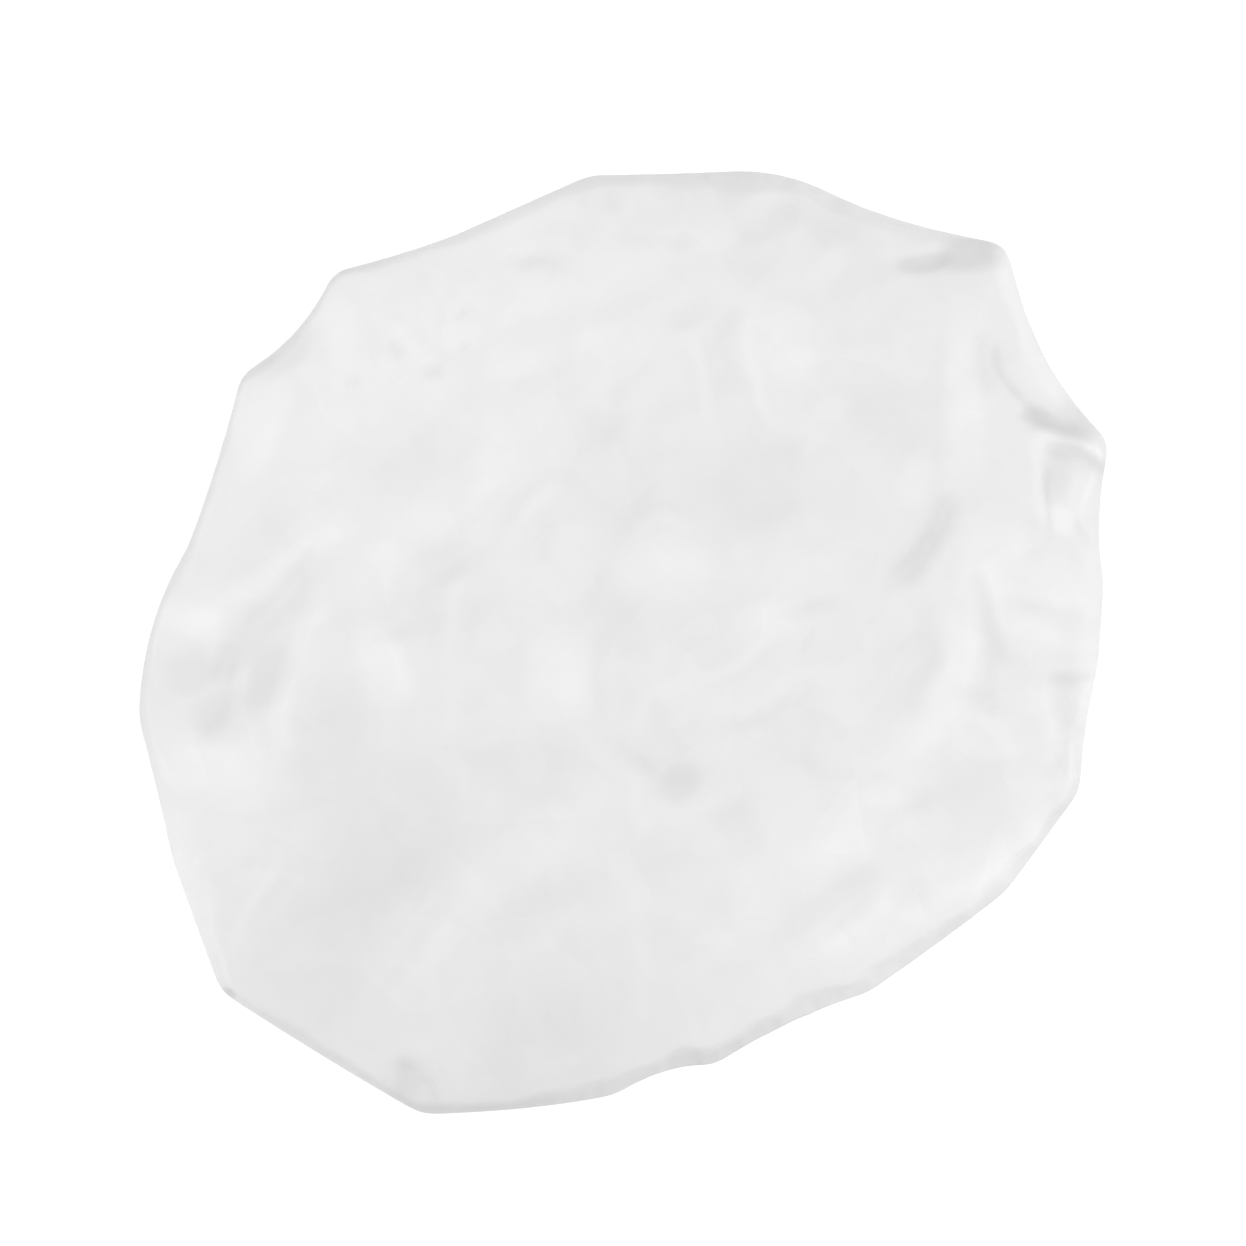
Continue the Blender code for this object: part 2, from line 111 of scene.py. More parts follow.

# The folds' painted shading is light and shade painted into the film's colour, in steps of
# PAINTED_SHADING_STEP: painted light above 0 and painted shade below it. A height in CREASES and DENTS is
# a fold's painted shading. It is also how far the fold stands up or down, within RISE_RANGE: a crease in
# its own widths, and a dent in DENT_SHARE of its smaller half.

# Long folds of the crown panel through three points, in shares of CAP_RADIUS from the middle.
# width is a share of CAP_RADIUS too.
CREASES = (
    # name, from, through, to, width, height
    # beak and pocket at the right
    ("beak_groove", (0.828, 0.496), (0.895, 0.466), (1.005, 0.412), 0.018, -4.4),
    ("beak_tail", (0.800, 0.64), (0.812, 0.56), (0.86, 0.485), 0.009, -1.8),
    ("beak_lip", (0.862, 0.442), (0.930, 0.434), (1.02, 0.378), 0.011, 2.2),
    ("beak_hook", (0.757, 0.64), (0.760, 0.60), (0.778, 0.50), 0.022, -0.7),
    ("pocket_edge", (0.868, 0.45), (0.862, 0.33), (0.866, 0.19), 0.011, 1.3),
    ("pocket_leg", (0.880, 0.19), (0.877, 0.28), (0.885, 0.37), 0.009, -1.4),
    ("pocket_arch", (0.884, 0.385), (0.920, 0.402), (0.972, 0.396), 0.016, -1.5),
    ("pocket_heel", (0.940, 0.412), (0.985, 0.385), (1.02, 0.33), 0.014, -2.4),
    ("pocket_line", (0.93, 0.26), (0.955, 0.225), (0.985, 0.20), 0.010, -0.8),
    # right side
    ("slant_valley", (0.712, 0.330), (0.645, 0.225), (0.53, 0.085), 0.021, -1.5),
    ("slant_shoulder", (0.76, 0.34), (0.70, 0.21), (0.60, 0.09), 0.026, 0.3),
    ("long_ridge", (0.680, 0.16), (0.685, -0.10), (0.49, -0.33), 0.036, 1.1),
    ("long_line", (0.625, 0.12), (0.632, -0.04), (0.56, -0.18), 0.016, -0.5),
    ("right_ridge", (0.765, 0.17), (0.781, 0.09), (0.802, -0.01), 0.012, 0.8),
    ("right_valley", (0.735, 0.14), (0.758, 0.03), (0.785, -0.09), 0.028, -0.7),
    ("side_valley", (0.920, -0.05), (0.935, -0.14), (0.925, -0.27), 0.034, -1.2),
    ("side_line", (0.870, -0.07), (0.873, -0.14), (0.882, -0.22), 0.014, 0.4),
    ("side_dash", (0.825, 0.070), (0.848, 0.066), (0.875, 0.066), 0.010, -0.5),
    ("side_streak", (0.78, 0.105), (0.86, 0.095), (0.96, 0.10), 0.012, 0.3),
    ("side_branch", (0.735, -0.13), (0.78, -0.20), (0.84, -0.30), 0.014, 0.4),
    ("facet_edge", (0.655, 0.70), (0.655, 0.52), (0.665, 0.32), 0.012, -0.3),
    # left side
    ("left_ridge", (-0.98, 0.02), (-0.76, 0.150), (-0.55, 0.26), 0.040, 0.5),
    ("left_streak", (-0.86, -0.07), (-0.72, 0.080), (-0.60, 0.21), 0.025, -1.0),
    ("left_line", (-0.60, 0.19), (-0.683, -0.06), (-0.715, -0.30), 0.016, 0.9),
    ("left_pleat", (-0.98, -0.13), (-0.89, -0.10), (-0.80, -0.08), 0.013, 0.4),
    ("left_stile", (-0.80, 0.00), (-0.795, -0.09), (-0.80, -0.18), 0.013, 0.5),
    ("left_shelf", (-0.94, -0.21), (-0.84, -0.20), (-0.72, -0.19), 0.022, 0.3),
    ("upper_left_trough", (-0.88, 0.09), (-0.78, 0.20), (-0.64, 0.34), 0.036, -0.35),
    ("west_line", (-0.29, 0.18), (-0.355, 0.095), (-0.375, -0.01), 0.016, 0.35),
    ("west_shadow", (-0.29, 0.11), (-0.32, 0.03), (-0.31, -0.05), 0.020, -0.5),
    # upper part
    ("upper_valley", (0.20, 0.74), (0.205, 0.55), (0.24, 0.36), 0.022, -0.2),
    ("upper_line_left", (0.14, 0.68), (0.165, 0.56), (0.17, 0.44), 0.012, 0.7),
    ("upper_line_right", (0.255, 0.74), (0.262, 0.55), (0.34, 0.43), 0.014, 0.9),
    ("middle_valley", (-0.09, 0.52), (-0.06, 0.36), (0.06, 0.25), 0.055, -0.35),
    ("middle_line", (-0.12, 0.36), (-0.18, 0.29), (-0.24, 0.19), 0.012, 0.5),
    ("middle_gap", (-0.15, 0.28), (-0.17, 0.20), (-0.20, 0.14), 0.014, -0.4),
    ("north_rim_line", (0.00, 0.21), (0.07, 0.27), (0.15, 0.23), 0.012, 0.6),
    ("upper_streak", (-0.55, 0.72), (-0.48, 0.66), (-0.41, 0.60), 0.016, 0.6),
    ("upper_dash", (-0.51, 0.63), (-0.488, 0.611), (-0.46, 0.60), 0.011, -0.8),
    ("second_dash", (-0.43, 0.575), (-0.40, 0.570), (-0.37, 0.580), 0.011, -0.9),
    ("crescent_left", (-0.235, 0.772), (-0.173, 0.805), (-0.105, 0.770), 0.014, -0.8),
    ("crescent_right", (0.00, 0.83), (0.07, 0.85), (0.16, 0.835), 0.013, -0.5),
    ("crescent_stem", (-0.03, 0.96), (-0.015, 0.89), (0.01, 0.83), 0.015, -0.4),
    # middle
    ("centre_edge", (-0.045, 0.04), (-0.05, -0.09), (-0.04, -0.20), 0.012, -0.5),
    ("star_valley", (-0.08, -0.19), (0.02, -0.24), (0.10, -0.29), 0.018, -0.6),
    ("star_ridge", (0.00, -0.20), (0.06, -0.13), (0.20, -0.08), 0.014, 0.5),
    ("star_line", (0.14, -0.16), (0.33, -0.11), (0.48, -0.02), 0.016, 0.4),
    ("star_spoke", (0.00, -0.22), (0.03, -0.32), (0.04, -0.46), 0.012, 0.5),
    ("centre_streak", (0.14, -0.07), (0.22, -0.05), (0.30, -0.03), 0.014, 0.6),
    ("east_crease", (0.32, 0.02), (0.38, 0.07), (0.46, 0.10), 0.011, -0.6),
    # lower part
    ("low_ridge", (-0.56, -0.86), (-0.36, -0.56), (0.05, -0.40), 0.064, 0.6),
    ("low_edge", (-0.52, -0.80), (-0.44, -0.66), (-0.32, -0.48), 0.018, -0.4),
    ("low_valley", (-0.30, -0.62), (-0.17, -0.56), (0.00, -0.50), 0.036, -0.4),
    ("low_crease", (0.02, -0.44), (0.035, -0.62), (0.04, -0.86), 0.013, 0.25),
    ("low_left_line", (-0.72, -0.45), (-0.77, -0.55), (-0.81, -0.66), 0.013, 0.6),
    ("low_dash", (-0.35, -0.240), (-0.29, -0.245), (-0.22, -0.250), 0.018, -0.5),
    ("edge_ridge", (0.40, -0.710), (0.70, -0.555), (0.94, -0.29), 0.030, 0.6),
    ("edge_valley", (0.28, -0.680), (0.42, -0.560), (0.54, -0.45), 0.040, -0.6),
    ("cross_ridge", (0.36, -0.70), (0.50, -0.60), (0.62, -0.52), 0.030, 0.7),
    ("corner_groove", (-0.425, -0.86), (-0.445, -0.92), (-0.475, -1.00), 0.026, -2.0),
    ("corner_second", (-0.40, -0.90), (-0.395, -0.94), (-0.39, -0.99), 0.014, -1.0),
)

# Oval swells and dents of the crown panel, with centre and size in shares of CAP_RADIUS. turn is in
# degrees, from +X to the long way of the dent.
DENTS = (
    # name, centre, half length, half width, turn, height
    # beak and pocket at the right
    ("beak_top", (0.900, 0.560), 0.060, 0.040, -50, 0.9),
    ("beak_swell", (0.713, 0.520), 0.170, 0.048, 90, 1.1),
    ("beak_back", (0.565, 0.465), 0.090, 0.085, 0, -0.6),
    ("pocket_floor", (0.905, 0.345), 0.062, 0.036, 68, -1.6),
    ("pocket_swell", (0.910, 0.248), 0.036, 0.028, 0, 1.7),
    ("pocket_back", (0.965, 0.305), 0.050, 0.024, 70, 0.9),
    ("lip_swell", (0.885, 0.422), 0.036, 0.020, -10, 0.9),
    ("lip_end", (0.996, 0.398), 0.026, 0.014, -48, 1.5),
    ("groove_top", (0.955, 0.478), 0.060, 0.022, -40, -1.7),
    # right side
    ("ridge_swell", (0.612, 0.340), 0.062, 0.040, 75, 0.9),
    ("slant_middle", (0.618, 0.180), 0.075, 0.036, 55, -0.4),
    ("right_swell", (0.770, 0.150), 0.090, 0.065, 80, 1.0),
    ("right_fork", (0.760, -0.120), 0.060, 0.036, -10, -0.4),
    ("ridge_shade", (0.755, -0.080), 0.075, 0.034, 100, -0.7),
    ("side_swell", (0.900, 0.130), 0.060, 0.050, 0, 0.7),
    ("side_back", (0.860, 0.010), 0.070, 0.045, 0, 0.9),
    ("side_top", (0.915, -0.080), 0.050, 0.040, -35, -0.3),
    ("side_foot", (0.905, -0.262), 0.038, 0.024, 40, -0.9),
    ("east_hollow", (0.375, -0.175), 0.090, 0.080, 40, -0.4),
    ("east_back", (0.555, -0.060), 0.110, 0.085, 85, -0.4),
    ("south_swell", (0.500, -0.380), 0.160, 0.050, 42, 0.8),
    # left side
    ("left_region", (-0.840, -0.085), 0.145, 0.085, 10, -0.9),
    ("left_dent_a", (-0.832, -0.035), 0.045, 0.030, 60, -1.3),
    ("left_dent_b", (-0.905, -0.058), 0.062, 0.042, 40, -1.2),
    ("left_dent_c", (-0.852, -0.126), 0.062, 0.042, 30, -1.1),
    ("left_dent_d", (-0.732, -0.070), 0.090, 0.046, 82, -1.1),
    ("left_swell", (-0.895, 0.045), 0.080, 0.030, -12, 0.9),
    ("left_low_swell", (-0.845, -0.275), 0.125, 0.080, -20, 1.1),
    ("left_trough", (-0.615, -0.215), 0.135, 0.065, 80, -0.9),
    ("west_swell", (-0.505, -0.055), 0.090, 0.058, 118, 1.7),
    ("west_knob", (-0.510, 0.150), 0.050, 0.042, 70, 0.6),
    ("ridge_head", (-0.610, 0.240), 0.060, 0.045, 20, 0.6),
    ("sharp_corner", (-0.830, -0.738), 0.020, 0.014, 0, -4.0),
    # upper part
    ("corner_dent", (0.730, 0.808), 0.070, 0.040, -3, -3.5),
    ("corner_tail", (0.630, 0.797), 0.054, 0.024, 5, -3.1),
    ("northwest_swell", (-0.755, 0.455), 0.120, 0.045, 72, 1.0),
    ("northwest_knob", (-0.480, 0.735), 0.060, 0.050, 0, 0.5),
    ("corner_swell", (-0.600, 0.665), 0.065, 0.030, 100, 0.7),
    ("corner_shadow", (-0.705, 0.600), 0.075, 0.026, 42, -1.4),
    ("high_hollow", (-0.470, 0.395), 0.112, 0.095, 0, -0.65),
    ("high_band", (-0.345, 0.310), 0.190, 0.055, 38, 0.6),
    ("crescent_swell", (-0.190, 0.880), 0.090, 0.030, 18, 0.6),
    ("dot_a", (-0.324, 0.685), 0.011, 0.011, 0, -0.9),
    ("dot_b", (-0.324, 0.617), 0.012, 0.010, 0, -1.1),
    ("dot_c", (-0.560, 0.553), 0.018, 0.014, 0, -0.9),
    ("top_swell", (0.335, 0.625), 0.085, 0.075, 90, 0.9),
    ("top_hollow", (0.430, 0.885), 0.090, 0.055, -20, -0.7),
    ("top_shade", (0.200, 0.900), 0.110, 0.060, -5, -0.3),
    ("small_swell", (0.435, 0.493), 0.038, 0.030, 0, 0.8),
    ("small_dark", (0.500, 0.637), 0.045, 0.025, 0, -0.4),
    ("upper_strip", (-0.060, 0.600), 0.100, 0.045, 90, 0.4),
    ("upper_knob", (0.235, 0.725), 0.055, 0.050, 0, 0.7),
    # middle
    ("dimple", (-0.367, 0.172), 0.070, 0.055, 0, -0.9),
    ("second_dimple", (-0.435, 0.060), 0.085, 0.060, 0, -0.6),
    ("centre_swell", (-0.140, -0.083), 0.095, 0.075, 80, 1.1),
    ("north_swell", (0.085, 0.160), 0.096, 0.074, -10, 1.1),
    ("east_swell", (0.385, 0.140), 0.075, 0.050, -10, 0.5),
    ("east_tail", (0.285, 0.025), 0.085, 0.050, 25, 1.0),
    ("middle_dark", (0.285, 0.320), 0.115, 0.105, 0, -0.9),
    ("middle_spot", (-0.075, 0.455), 0.040, 0.035, 0, -0.4),
    ("middle_shade", (-0.030, 0.050), 0.120, 0.065, 135, -0.5),
    ("star_dent", (0.117, -0.285), 0.046, 0.042, 60, -1.8),
    ("star_pit", (0.025, -0.235), 0.024, 0.020, 0, -0.5),
    ("star_left", (-0.190, -0.275), 0.120, 0.055, -8, -0.6),
    ("star_end", (0.240, -0.400), 0.070, 0.052, -50, -0.7),
    # lower part
    ("low_hollow_a", (-0.490, -0.400), 0.180, 0.120, 66, -0.6),
    ("low_hollow_b", (-0.590, -0.620), 0.190, 0.135, 55, -0.6),
    ("low_hollow_c", (-0.405, -0.460), 0.100, 0.065, 55, -0.5),
    ("bottom_hollow", (-0.150, -0.855), 0.170, 0.130, 0, -0.8),
    ("low_pit", (-0.225, -0.620), 0.042, 0.026, 0, -0.4),
    ("low_swell", (0.275, -0.550), 0.055, 0.055, 0, 0.6),
    ("rim_swell", (0.800, -0.450), 0.110, 0.035, 45, 0.8),
    ("rim_patch", (0.605, -0.540), 0.052, 0.036, 0, -0.6),
    ("right_low_hollow", (0.715, -0.345), 0.125, 0.095, 30, -0.9),
)

# Broad painted light and shade over the film. A cloud has painted shading and no height.
PAINTED_SHADING_CLOUDS = (
    # name, centre, half length, half width, turn, painted shading
    ("northwest", (-0.62, 0.55), 0.45, 0.32, 60, 1.0),
    ("north", (-0.15, 0.75), 0.35, 0.18, 20, 0.65),
    ("east", (0.86, 0.05), 0.55, 0.20, 95, 0.6),
    ("southeast", (0.66, -0.48), 0.45, 0.20, 38, 0.85),
    ("west", (-0.86, -0.12), 0.42, 0.13, 100, 0.7),
    ("southwest", (-0.55, -0.58), 0.42, 0.30, 55, -0.75),
    ("south", (-0.10, -0.80), 0.34, 0.24, 0, -0.55),
    ("middle", (-0.22, -0.36), 0.38, 0.18, 0, -0.2),
    ("top", (0.30, 0.90), 0.35, 0.12, -20, -0.3),
    ("upper_middle", (0.15, 0.33), 0.30, 0.18, 10, -0.35),
    ("centre", (0.11, -0.05), 0.20, 0.45, 0, -0.5),
    ("southwest_rim", (-0.905, -0.600), 0.15, 0.05, 110, 1.5),
    ("east_rim", (0.980, -0.180), 0.12, 0.04, 85, 1.2),
    ("upper_right", (0.62, 0.38), 0.40, 0.26, 90, -0.5),
    ("low_middle", (0.30, -0.62), 0.45, 0.22, 15, 0.2),
    ("south_rim", (-0.29, -0.97), 0.20, 0.07, 0, -1.2),
    ("low_band", (-0.36, -0.70), 0.18, 0.09, 62, 0.6),
    ("low_east", (0.36, -0.42), 0.16, 0.12, 20, 0.5),
    ("right", (0.73, 0.25), 0.17, 0.11, 0, -0.4),
    ("side", (0.84, -0.17), 0.08, 0.16, 0, -0.5),
)

# The shape of one fold
CREASE_SAMPLES = 17  # points along a crease
CREASE_FADE = 0.3  # share of a crease's length over which each end dies away
CREASE_REACH = 4  # widths beyond which a crease adds nothing
CREASE_SPREAD = 1.3  # half width of a crease's painted shading, in widths
CREASE_CRISPNESS = 3  # the higher, the sharper the edges of a crease's painted shading
DENT_SQUARENESS = 2.4  # 2 would be an oval
DENT_CRISPNESS = 5  # the higher, the sharper the edge of a dent's painted shading
DENT_SHARE = 0.3  # height of a dent of height 1, as a share of its smaller half
RISE_RANGE = (-1.0, 0.9)  # the lowest and highest that one fold stands, whatever its painted shading
RELIEF = 0.58  # share of their height that the folds keep, because the cap lies flat
PAINTED_SHADING_STEP = 0.042  # change of the film's brightness at a painted shading of 1
PAINTED_SHADING_RANGE = (-7, 2.2)  # the darkest and lightest painted shading where folds overlap

# Small creases of the handled film, strewn over the crown. They have a height and no painted shading.
SMALL_CREASES = 90
SMALL_CREASE_SEED = 11
SMALL_CREASE_FIELD = 0.95  # share of CAP_RADIUS within which their middles lie
SMALL_CREASE_LENGTH = (0.08, 0.26)  # shortest and longest, as shares of CAP_RADIUS
SMALL_CREASE_WIDTH = (0.016, 0.034)  # the same for their widths
SMALL_CREASE_BOW = 0.4  # how far a middle lies off the line at most, in shares of the half length
SMALL_CREASE_HEIGHT = 0.25  # in its own widths
SMALL_CREASE_SPREAD = (0.5, 1.2)  # shares of that height that they have, up or down

# Long soft waves that bend every fold a little
WARP = 0.0035  # how far one wave moves a point, as a share of CAP_RADIUS
WARP_SEEDS = (3, 4)  # for x and for y
WARP_WAVES = 8
WARP_LENGTH = (0.12, 0.5)  # shares of CAP_RADIUS

# The crumple of facets between the folds
CRUMPLE = 0.016  # height as a share of a wave's own length
CRUMPLE_SEED = 5
CRUMPLE_WAVES = 18
CRUMPLE_LENGTH = (0.09, 0.34)  # shares of CAP_RADIUS
CRUMPLE_ROUNDING = 0.12  # of its crests, which are sharp at 0
CRUMPLE_SWING = 0.7  # how far a crest swings to its sides, in radians of its wave
SWINGS_PER_LENGTH = 0.4
WINDOWS_PER_RADIUS = 0.9  # how often a wave comes and goes
SWING_START, WINDOW_TURN, WINDOW_START = 2, 3, 5  # multiples of a wave's own start

# Gathers of the film underneath
PLEATS = 48  # full pleats, from the rim to the hem
GATHERS = 104  # small gathers that join them near the hem
PLEAT_START = 0.35  # share of the pleats' height that is left under the rim
PLEAT_LOSS = 0.55  # share of it that the full pleats lose to the small gathers at the hem
PLEAT_MEAN = 0.72  # mean share of a full pleat's depth that it has
GATHER_FROM = 0.3  # share of the way in to the hem at which the small gathers begin
TUCK_DEPTH = 2.8 * MM  # how far a pleat draws the rim's lower bend in
LOWER_TURN = math.radians(108)  # how far the rim's lower bend goes round, past straight down at 90
EDGE_TUCK = 0.5 * MM  # height of the lower film's outer edge over its next ring, inside the bend

# Short gathers over the rim's bend
RIM_TUCK = 0.45 * MM  # how far one draws the bend in
RIM_MEAN = 0.55  # mean share of that depth
WALL_PAINTED_SHADE = 3.0  # painted shade that changes along the straight slants of the rim
WALL_SHADE_FINENESS = 5  # how many times finer that painted shade is than the rim's unevenness

# Waves round the cap that make its gathers and its rim uneven, each with its number, start and height
PLEAT_WANDER = ((5, 1.0, 0.050), (13, 2.4, 0.022))  # in the place of the pleats
PLEAT_UNEVENNESS = ((7, 0.6, 0.28),)  # in their depth
GATHER_WANDER = ((9, 0.0, 1.3),)  # in the place of the small gathers
RIM_WANDER = ((8, 0.7, 2.1),)  # in the place of the gathers over the rim
RIM_UNEVENNESS = ((5, 1.9, 0.45),)  # in their depth
BEND_WAVES = ((11, 0.4, 0.10), (23, 2.1, 0.12), (37, 4.0, 0.10), (61, 1.2, 0.07))  # in the rim's bend

# The ruched hem
HEM_OVAL = 0.05  # how much farther than its mean radius it reaches one way, as a share
HEM_OVAL_TURN = math.radians(40)  # direction of that way
HEM_STEPS = 8 * GATHERS  # points round the cap
HEM_SIDES = 14  # points round its section
HEM_RIB = 0.14  # height of its ribs, as a share of its thickness
HEM_RIB_WIDTH = 0.06  # share of its width that follows the ribs
HEM_SQUARENESS = (0.7, 0.8)  # powers that square its section, across and up

# The film's material. A noise has its features per metre, its detail, its roughness and its distortion.
FILM_WHITE = 0.85
HEM_WHITE = 0.84
FILM_IOR = 1.49
FILM_SPECULAR = 0.25
GLOSS_RANGE = (0.42, 0.58)  # roughness of the surface, from patch to patch
CLOUD_NOISE = (38.0, 3.0, 0.5, 0.0)
CRINKLE_NOISE = (120.0, 4.0, 0.55, 0.6)
GRAIN_NOISE = (2200.0, 1.0, 0.5, 0.0)
CRINKLE_BUMP = (0.2, 0.4 * MM)  # strength and depth
GRAIN_BUMP = (0.1, 0.05 * MM)
FACET_SHADING = ((15 * MM, 0.013), (5 * MM, 0.009))  # size, and painted shade or light either way from facet to facet
FACET_WANDER = 14 * MM  # width of the band in which a facet's edge wanders

# The table
TABLE_HALF = 3.0
TABLE_GREY = 0.1
TABLE_ROUGHNESS = 0.9

# Soft boxes round the table. light is what each one adds to a surface that faces it.
SOFT_BOXES = (
    # azimuth, elevation, distance, width, height, light
    (75, 81, 1.6, 0.9, 0.9, 0.52),
    (356, 15, 1.4, 2.0, 0.7, 0.32),
    (203, 15, 1.4, 2.0, 0.7, 0.33),
)
SKY = 0.377  # brightness of the white room

# The photograph's frame
FRAME_WIDTH = 373.2 * MM  # what its 1246 pixels span at the rim's height
FRAME_CENTRE = (0, 5.9 * MM)
LENS, SENSOR = 200, 36  # millimetres


def corner_span(angle):
    """The corners before and after each angle, the angle between them and the share of it gone by."""
    corner = np.radians([row[ANGLE] for row in RIM_CORNERS])
    angle = np.mod(angle, math.tau)
    before = (np.searchsorted(corner, angle, side="right") - 1) % len(corner)
    after = (before + 1) % len(corner)
    span = np.mod(corner[after] - corner[before], math.tau)
    share = np.mod(angle - corner[before], math.tau) / span
    return before, after, span, share


def chord_radius(angle):
    """The outline's radius on chords between the corners, bowed out or in."""
    before, after, span, share = corner_span(angle)
    reach = np.array([row[REACH] for row in RIM_CORNERS])
    bow = np.array([row[BOW] for row in RIM_CORNERS])[before]
    start, end = reach[before], reach[after]
    gone, left = share * span, (1 - share) * span
    chord = start * end * np.sin(span) / (start * np.sin(gone) + end * np.sin(left))
    return CAP_RADIUS * (chord + bow * 4 * share * (1 - share))


def outline_radius(angle):
    """The outline with its corners rounded, as a weighted mean over a small angle."""
    steps = np.linspace(-1, 1, ROUNDING_SAMPLES)
    weights = 1 - ROUNDING_FALL * np.abs(steps)
    total = sum(w * chord_radius(angle + s * CORNER_ROUNDING) for w, s in zip(weights, steps))
    return total / weights.sum()


def ease(share):
    """A share from 0 to 1, made slow at both ends."""
    share = np.clip(share, 0, 1)
    return share * share * (3 - 2 * share)


def rim_value(angle, column):
    """A column of RIM_CORNERS at any angle, eased from corner to corner."""
    before, after, _, share = corner_span(angle)
    value = np.array([row[column] for row in RIM_CORNERS])
    return value[before] + (value[after] - value[before]) * ease(share)


def crease_height(x, y, start, through, end, width, height):
    """A fold with a rounded crest along a parabola through three points, as its painted shading and its
    height.
    """
    a, b, c = (np.array(point) for point in (start, through, end))
    t = np.linspace(0, 1, CREASE_SAMPLES)[:, None]
    path = a * (1 - t) * (1 - 2 * t) + b * 4 * t * (1 - t) + c * t * (2 * t - 1)
    low = path.min(axis=0) - CREASE_REACH * width
    high = path.max(axis=0) + CREASE_REACH * width
    near = (x > low[0]) & (x < high[0]) & (y > low[1]) & (y < high[1])
    u, v = x[near], y[near]
    nearest = np.full(u.shape, np.inf)
    share = np.zeros(u.shape)
    for i, (p, q) in enumerate(zip(path[:-1], path[1:])):
        step = q - p
        along = np.clip(((u - p[0]) * step[0] + (v - p[1]) * step[1]) / (step @ step), 0, 1)
        distance = np.hypot(u - p[0] - step[0] * along, v - p[1] - step[1] * along)
        share = np.where(distance < nearest, (i + along) / (CREASE_SAMPLES - 1), share)
        nearest = np.minimum(nearest, distance)
    fade = ease(np.minimum(share, 1 - share) / CREASE_FADE)
    painted_shading, rise = np.zeros(np.shape(x)), np.zeros(np.shape(x))
    painted_shading[near] = height * fade * np.exp(-((nearest / width / CREASE_SPREAD) ** CREASE_CRISPNESS))
    rise[near] = np.clip(height, *RISE_RANGE) * fade * np.exp(-((nearest / width) ** 2) / 2) * width
    return np.stack([painted_shading, rise])


def oval_place(x, y, centre, half_length, half_width, turn):
    """How far points lie from an oval's middle, in shares of its half length and of its half width."""
    c, s = math.cos(math.radians(turn)), math.sin(math.radians(turn))
    along = ((x - centre[0]) * c + (y - centre[1]) * s) / half_length
    across = ((y - centre[1]) * c - (x - centre[0]) * s) / half_width
    return along, across


def dent_height(x, y, centre, half_length, half_width, turn, height):
    """A smooth oval swell, or a dent if height is negative, as its painted shading and its height."""
    u, v = np.abs(oval_place(x, y, centre, half_length, half_width, turn))
    out = (u**DENT_SQUARENESS + v**DENT_SQUARENESS) ** (1 / DENT_SQUARENESS)
    painted_shading = height * np.exp(-(out**DENT_CRISPNESS))
    rise = np.clip(height, *RISE_RANGE) * np.exp(-(out**2)) * min(half_length, half_width) * DENT_SHARE
    return np.stack([painted_shading, rise])


def cloud_painted_shading(x, y, centre, half_length, half_width, turn, painted_shading):
    """The painted shading of a broad soft cloud, painted light above 0 and painted shade below."""
    u, v = oval_place(x, y, centre, half_length, half_width, turn)
    return painted_shading * np.exp(-(u * u + v * v))


def small_creases():
    """Short random creases, each slightly bent, as rows like those of CREASES."""
    rng = np.random.default_rng(SMALL_CREASE_SEED)
    rows = []
    for _ in range(SMALL_CREASES):
        angle = rng.uniform(0, math.tau)
        radius = SMALL_CREASE_FIELD * math.sqrt(rng.uniform(0, 1))
        centre = np.array([radius * math.cos(angle), radius * math.sin(angle)])
        turn = rng.uniform(0, math.pi)
        half = rng.uniform(*SMALL_CREASE_LENGTH) / 2
        way = np.array([math.cos(turn), math.sin(turn)])
        across = np.array([-way[1], way[0]])
        middle = centre + across * half * rng.uniform(-SMALL_CREASE_BOW, SMALL_CREASE_BOW)
        width = rng.uniform(*SMALL_CREASE_WIDTH)
        height = SMALL_CREASE_HEIGHT * rng.uniform(*SMALL_CREASE_SPREAD) * rng.choice([-1, 1])
        rows.append(("small", centre - way * half, middle, centre + way * half, width, height))
    return rows


def waves(seed, number, lengths):
    """Random waves over the crown, each with its way divided by its length, its length and its start."""
    rng = np.random.default_rng(seed)
    turn = rng.uniform(0, math.tau, number)
    length = np.exp(rng.uniform(np.log(lengths[0]), np.log(lengths[1]), number))
    start = rng.uniform(0, math.tau, number)
    return list(zip(np.cos(turn) / length, np.sin(turn) / length, length, start))


def warp(x, y):
    """A point moved a little, so that no fold is a clean curve."""
    moves = []
    for seed in WARP_SEEDS:
        rows = waves(seed, WARP_WAVES, WARP_LENGTH)
        moves.append(sum(WARP * np.sin(math.tau * (a * x + b * y) + start) for a, b, _, start in rows))
    return x + moves[0], y + moves[1]


def crumple(x, y):
    """Sharp-crested waves that come and go, so that the film between the folds lies in facets."""
    total = 0
    for a, b, length, start in waves(CRUMPLE_SEED, CRUMPLE_WAVES, CRUMPLE_LENGTH):
        swing = SWINGS_PER_LENGTH * math.tau * (b * x - a * y) + SWING_START * start
        crest = np.sin(math.pi * (a * x + b * y) + start + CRUMPLE_SWING * np.sin(swing))
        along = x * math.cos(WINDOW_TURN * start) + y * math.sin(WINDOW_TURN * start)
        window = 0.5 + 0.5 * np.sin(WINDOWS_PER_RADIUS * math.tau * along + WINDOW_START * start)
        total = total - length * window**2 * np.sqrt(crest**2 + CRUMPLE_ROUNDING**2)
    return CRUMPLE * total


